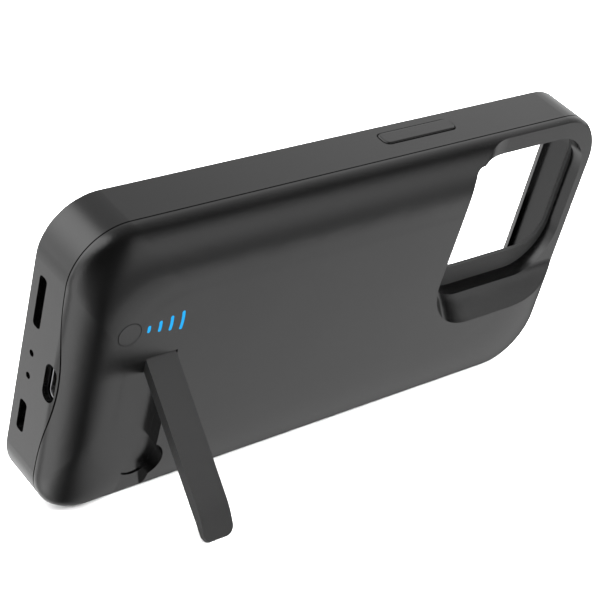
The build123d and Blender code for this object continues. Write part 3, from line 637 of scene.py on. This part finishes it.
# Studio: a wide pale floor in a room of broad soft panels, which the satin plastic mirrors as slow gradients.
# Two soft lamps, one overhead and one in front, light the floor and the dull faces.
# The camera stands where the photograph was taken from.
floor_half = 4.0
floor_corners = [(x * floor_half, y * floor_half, 0) for x, y in ((-1, -1), (1, -1), (1, 1), (-1, 1))]
floor_mesh = bpy.data.meshes.new("floor")
floor_mesh.from_pydata(floor_corners, [], [(0, 1, 2, 3)])
floor_paper = plastic(
    "floor_paper", dark=(0.90, 0.90, 0.90), light=(0.92, 0.92, 0.92),
    smooth=0.85, rough=0.95, grain_size=0.002, grain_depth=0.00001)
floor_mesh.materials.append(floor_paper)
floor = bpy.data.objects.new("floor", floor_mesh)
bpy.context.scene.collection.objects.link(floor)
floor.visible_glossy = False


def soft_lamp(name, size, energy, place):
    """Square area light that faces the case and isn't mirrored in it."""
    lamp_data = bpy.data.lights.new(name, "AREA")
    lamp_data.size = size
    lamp_data.energy = energy
    lamp = bpy.data.objects.new(name, lamp_data)
    lamp.location = place
    lamp.rotation_euler = (-Vector(place)).to_track_quat("-Z", "Y").to_euler()
    lamp.visible_glossy = False
    bpy.context.scene.collection.objects.link(lamp)


soft_lamp("overhead", size=3.0, energy=170, place=(0, 0, 2.0))
soft_lamp("front_lamp", size=0.6, energy=46, place=(0.5, -0.9, 0.55))

room = bpy.data.worlds.new("room")
room.use_nodes = True
room_nodes, room_links = room.node_tree.nodes, room.node_tree.links
bpy.context.scene.world = room


def combined(operation, first, second):
    """Math node on two values or sockets of the room."""
    node = room_nodes.new("ShaderNodeMath")
    node.operation = operation
    for socket, value in zip(node.inputs, (first, second)):
        if isinstance(value, (int, float)):
            socket.default_value = value
        else:
            room_links.new(value, socket)
    return node.outputs[0]


def product(*factors):
    """All the factors multiplied."""
    result = factors[0]
    for factor in factors[1:]:
        result = combined("MULTIPLY", result, factor)
    return result


def edge(value, start, end):
    """Soft edge of a panel: 0 before its start, 1 after its end."""
    node = room_nodes.new("ShaderNodeMapRange")
    node.interpolation_type = "SMOOTHSTEP"
    node.inputs["From Min"].default_value = start
    node.inputs["From Max"].default_value = end
    room_links.new(value, node.inputs["Value"])
    return node.outputs["Result"]


# A panel's edges are set by direction: across, behind and upward are parts of the unit direction,
# and climb is its angle in degrees, from 0 straight ahead to 90 overhead and 180 behind.
direction = room_nodes.new("ShaderNodeTexCoord")
parts = room_nodes.new("ShaderNodeSeparateXYZ")
room_links.new(direction.outputs["Generated"], parts.inputs["Vector"])
across, behind, upward = parts.outputs
ahead = combined("MULTIPLY", behind, -1)
climb = combined("MULTIPLY", combined("ARCTAN2", upward, ahead), 180 / math.pi)

ceiling_strength, ceiling_right_gain = 0.70, 0.43
ceiling_right = product(edge(across, start=0.471, end=0.662), ceiling_right_gain)
ceiling = product(edge(climb, start=-12.3, end=117.4), combined("ADD", ceiling_right, ceiling_strength))

front_strength = 1.33
front_band = combined("SUBTRACT", edge(climb, start=-66.6, end=-30.2), edge(climb, start=-24.3, end=24.1))
front_width = product(edge(across, start=0.252, end=0.375), edge(across, start=0.93, end=0.62))
front_panel = product(front_band, front_width, front_strength)

table_strength = 1.50
table_band = product(edge(climb, start=-60.3, end=-63.1), edge(climb, start=-155.0, end=-40.0))
table_panel = product(table_band, edge(across, start=0.225, end=0.478), table_strength)

left_strength = 2.3
left_reach = product(edge(behind, start=-0.95, end=-0.15), edge(behind, start=0.66, end=0.12))
left_height = edge(upward, start=0.6, end=-0.3)
left_panel = product(edge(across, start=0.25, end=-0.45), left_reach, left_height, left_strength)

rear_strength = 1.55
rear_panel = product(edge(behind, start=0.267, end=0.81), edge(across, start=0.5, end=0.0), rear_strength)

corner_strength = 2.70
corner_panel = product(
    edge(across, start=-0.099, end=-0.391), edge(upward, start=0.12, end=0.74), corner_strength)

studio = 0.02
for panel in (ceiling, front_panel, table_panel, left_panel, rear_panel, corner_panel):
    studio = combined("ADD", panel, studio)
seen = room_nodes.new("ShaderNodeLightPath")
plain = room_nodes.new("ShaderNodeMix")
room_links.new(seen.outputs["Is Camera Ray"], plain.inputs["Factor"])
room_links.new(studio, plain.inputs["A"])
plain.inputs["B"].default_value = 1
room_links.new(plain.outputs["Result"], room_nodes["Background"].inputs["Strength"])
room_nodes["Background"].inputs["Color"].default_value = (1, 1, 1, 1)
bpy.context.scene.view_settings.view_transform = "Standard"

camera_place = (-0.24473, -0.29745, 0.15580)
camera_turn, camera_drop, camera_roll = 38.507, 17.354, 3.055
camera_data = bpy.data.cameras.new("camera")
camera_data.sensor_width = 36
camera_data.lens = 103.34
camera = bpy.data.objects.new("camera", camera_data)
heading = Matrix.Rotation(math.radians(-camera_turn), 4, "Z")
pitch = Matrix.Rotation(math.radians(90 - camera_drop), 4, "X")
roll = Matrix.Rotation(math.radians(-camera_roll), 4, "Z")
camera.matrix_world = Matrix.Translation(camera_place) @ heading @ pitch @ roll
bpy.context.scene.collection.objects.link(camera)
bpy.context.scene.camera = camera
